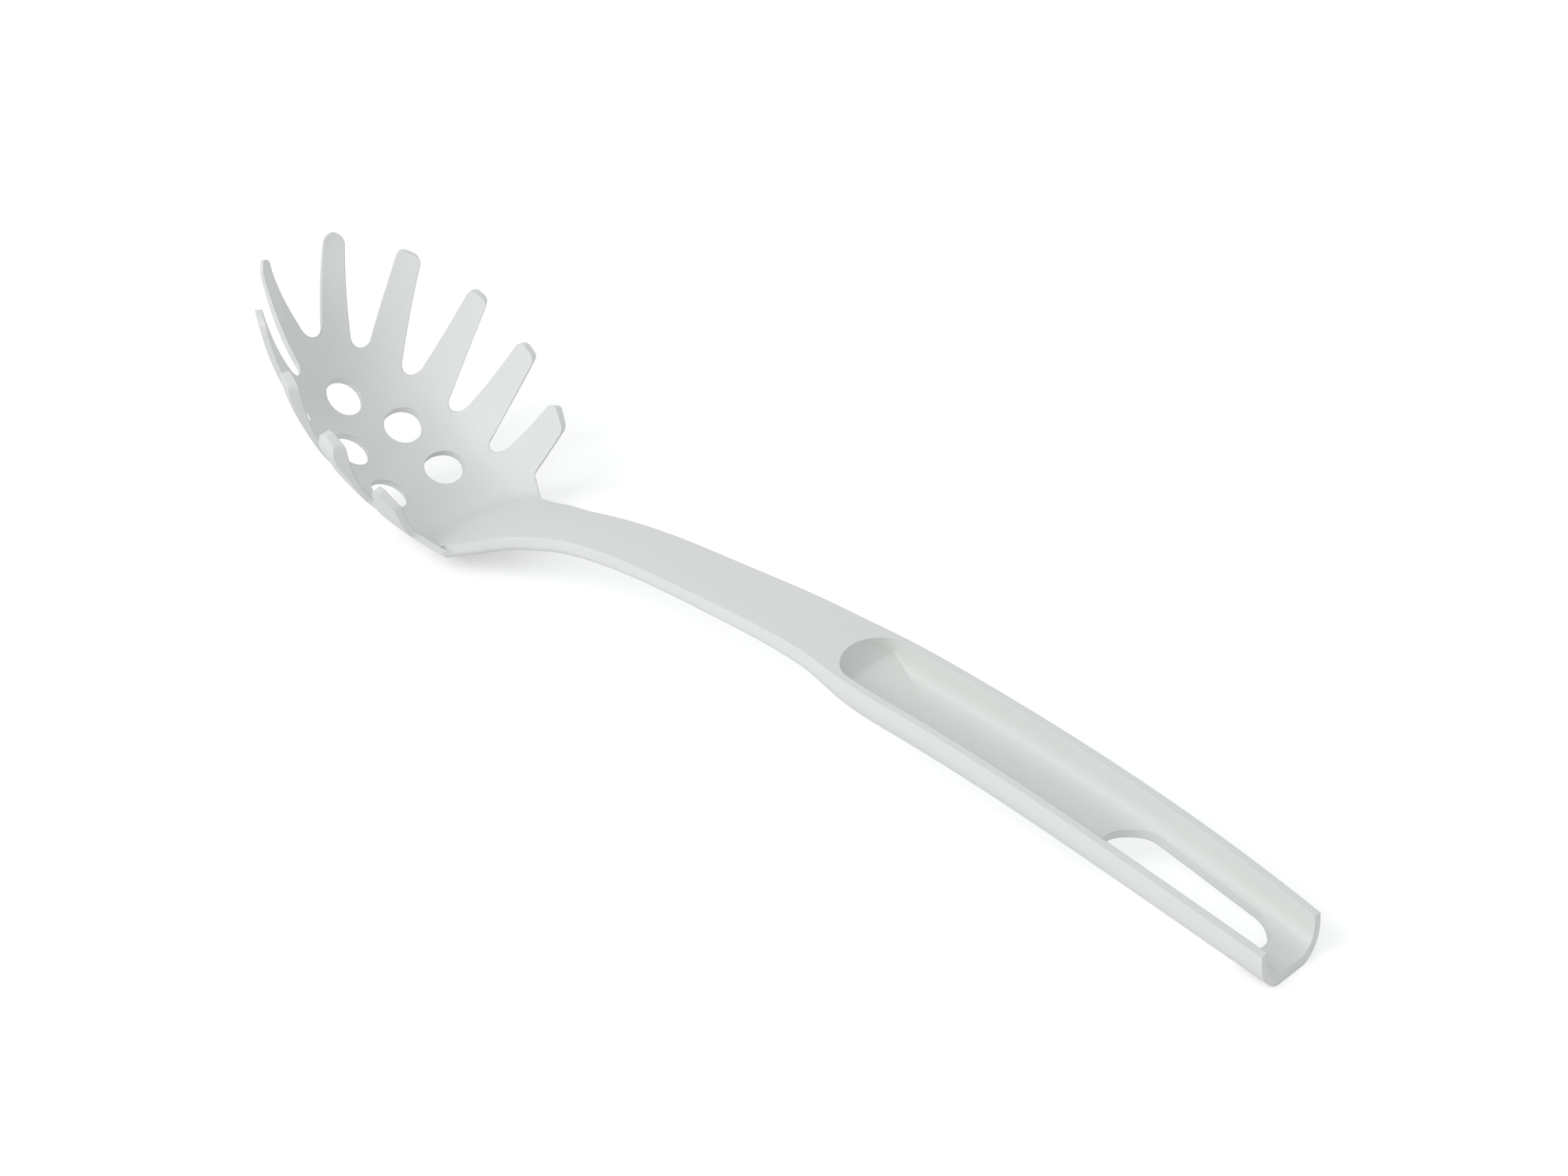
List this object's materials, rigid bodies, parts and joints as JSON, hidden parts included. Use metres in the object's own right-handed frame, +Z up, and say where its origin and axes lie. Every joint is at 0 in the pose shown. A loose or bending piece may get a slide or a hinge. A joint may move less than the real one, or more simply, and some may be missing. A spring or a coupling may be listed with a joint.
{
  "type": "pasta server",
  "caption": "Pasta server: a deep oval drain bowl ringed with tapered tines, on a narrow neck, with an open channel grip that is scooped in front and slotted for hanging.",
  "frame": {"origin": "middle of the bounding box's bottom, on the table that the server lies on", "axes": "+X from the bowl to the handle's open end, +Z up from the table out of the bowl's mouth and the channel, +Y completes the frame; the XZ plane is the plane of symmetry"},
  "size_m": [0.2986, 0.067, 0.0559],
  "materials": {
    "plastic": "satin"
  },
  "bodies": {
    "root": {"head": "plastic", "handle": "plastic"}
  },
  "joints": []
}
